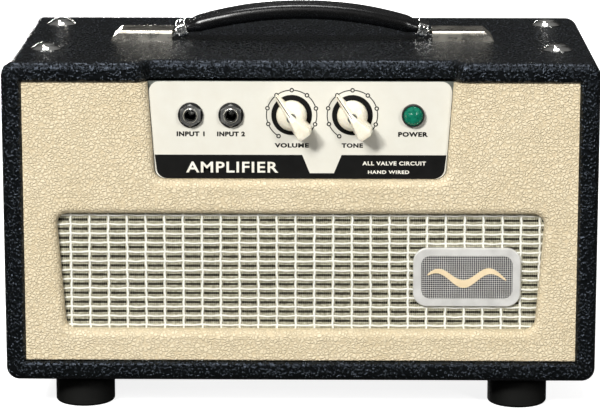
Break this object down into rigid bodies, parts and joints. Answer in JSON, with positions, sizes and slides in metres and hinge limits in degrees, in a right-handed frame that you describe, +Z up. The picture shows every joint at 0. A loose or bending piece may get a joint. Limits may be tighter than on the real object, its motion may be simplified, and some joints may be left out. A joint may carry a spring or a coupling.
{
  "type": "guitar amplifier head",
  "caption": "Guitar amplifier head: vinyl-covered cabinet with a cream front, cloth grille, white control panel, pointer knobs and a strap handle.",
  "frame": {"origin": "on the floor, under the middle of the cabinet", "axes": "+X to the right as seen from the front, +Y to the back, +Z up"},
  "size_m": [0.375, 0.2175, 0.2507],
  "materials": {
    "black_vinyl": "pebbled vinyl on cloth, low sheen",
    "cream_vinyl": "fine-grained cream vinyl, satin",
    "plywood": "raw birch plywood",
    "cloth": "woven grille cloth with raised white cords",
    "badge_metal": "satin plate with a dark sunk field",
    "rubber": "moulded, matt",
    "chassis_steel": "plated sheet, dull",
    "white_enamel": "off-white enamel with printed black marks",
    "nickel": "nickel plate",
    "chrome": "bright chrome plate",
    "black_plastic": "moulded phenolic",
    "cream_plastic": "moulded cream, softly glossy",
    "green_jewel": "moulded faceted green lens",
    "clear_glass": "clear blown glass",
    "steel": "zinc-plated",
    "black_grip": "moulded vinyl strap, ribbed along its length",
    "black_board": "plywood covered in black vinyl",
    "iron_core": "stacked laminations, varnished",
    "coil_paper": "copper winding wrapped in varnished paper",
    "black_cover": "black enamel",
    "board_green": "glass-fibre circuit board",
    "cap_orange": "dipped capacitors",
    "fuse_glass": "glass cartridge"
  },
  "bodies": {
    "cabinet": {"vinyl_covering": "black_vinyl", "cabinet_top": "plywood", "cabinet_bottom": "plywood", "cabinet_side_left": "plywood", "cabinet_side_right": "plywood", "rubber_feet": "rubber", "foot_fasteners": "steel", "front_panel": "plywood", "front_panel_covering": "cream_vinyl", "grille_frame": "plywood", "mounting_cleats": "plywood", "baffle_screws": "steel", "grille_cloth": "cloth", "badge_plate": "badge_metal", "badge_studs": "steel", "back_panel": "black_board", "back_panel_fasteners": "nickel", "chassis": "chassis_steel", "control_panel": "white_enamel", "chassis_bolts": "nickel", "chassis_bolt_washers": "nickel", "chassis_nuts": "steel", "handle_cap_right": "chrome", "handle_cap_left": "chrome", "handle_base_plates": "steel", "handle_screws": "steel", "jack_bodies": "black_plastic", "jack_bushings": "nickel", "jack_washers": "black_plastic", "jack_nuts": "nickel", "potentiometers": "steel", "pot_nuts": "nickel", "pilot_lamp_bezel": "black_plastic", "pilot_lamp_jewel": "green_jewel", "pilot_lamp_bulb": "clear_glass", "tube_sockets": "black_plastic", "power_tube_base": "black_plastic", "power_tube_glass": "clear_glass", "preamp_tubes": "clear_glass", "tube_shields": "steel", "transformer_cores": "iron_core", "transformer_coils": "coil_paper", "transformer_bolts": "steel", "transformer_covers": "black_cover", "circuit_board": "board_green", "board_standoffs": "steel", "capacitors": "cap_orange", "mains_inlet": "black_plastic", "fuse_holder": "black_plastic", "power_switch": "nickel"},
    "volume_control": {"volume_shaft": "steel", "volume_knob": "cream_plastic"},
    "tone_control": {"tone_shaft": "steel", "tone_knob": "cream_plastic"},
    "power_lever": {"switch_lever": "chrome"},
    "fuse_link": {"fuse": "fuse_glass"},
    "fuse_screw_cap": {"fuse_cap": "black_plastic"},
    "left_tongue": {"handle_tongue_left": "nickel"},
    "grip": {"handle_grip": "black_grip"},
    "right_tongue": {"handle_tongue_right": "nickel"}
  },
  "joints": [
    {"name": "volume_turn", "type": "hinge", "parent": "cabinet", "child": "volume_control", "pos_m": [-0.0055, -0.092, 0.193], "axis": [0, 1, 0], "range_deg": [-112, 186]},
    {"name": "tone_turn", "type": "hinge", "parent": "cabinet", "child": "tone_control", "pos_m": [0.0326, -0.092, 0.193], "axis": [0, 1, 0], "range_deg": [-112, 186]},
    {"name": "power_switch_flip", "type": "hinge", "parent": "cabinet", "child": "power_lever", "pos_m": [-0.056, 0.092, 0.183], "axis": [1, 0, 0], "range_deg": [0, 25]},
    {"name": "fuse_slide", "type": "slide", "parent": "cabinet", "child": "fuse_link", "axis": [0, 1, 0], "range_m": [0, 0.0042]},
    {"name": "fuse_cap_turn", "type": "hinge", "parent": "fuse_link", "child": "fuse_screw_cap", "pos_m": [-0.088, 0.088, 0.183], "axis": [0, -1, 0], "range_deg": [0, 1085]},
    {"name": "handle_pull", "type": "slide", "parent": "cabinet", "child": "left_tongue", "axis": [1, 0, 0], "range_m": [0, 0.003]},
    {"name": "grip_rise", "type": "slide", "parent": "left_tongue", "child": "grip", "axis": [-0.3987, 0, 0.9171], "range_m": [0, 0.00762], "deforming": ["handle_grip"]},
    {"name": "right_tongue_follow", "type": "slide", "parent": "grip", "child": "right_tongue", "axis": [-0.3987, 0, -0.9171], "range_m": [0, 0.00762]}
  ],
  "couplings": [
    {"joint": "fuse_cap_turn", "follows": "fuse_slide", "rad_per_m": 4488},
    {"joint": "grip_rise", "follows": "handle_pull", "ratio": 2.508},
    {"joint": "right_tongue_follow", "follows": "handle_pull", "ratio": 2.508}
  ]
}
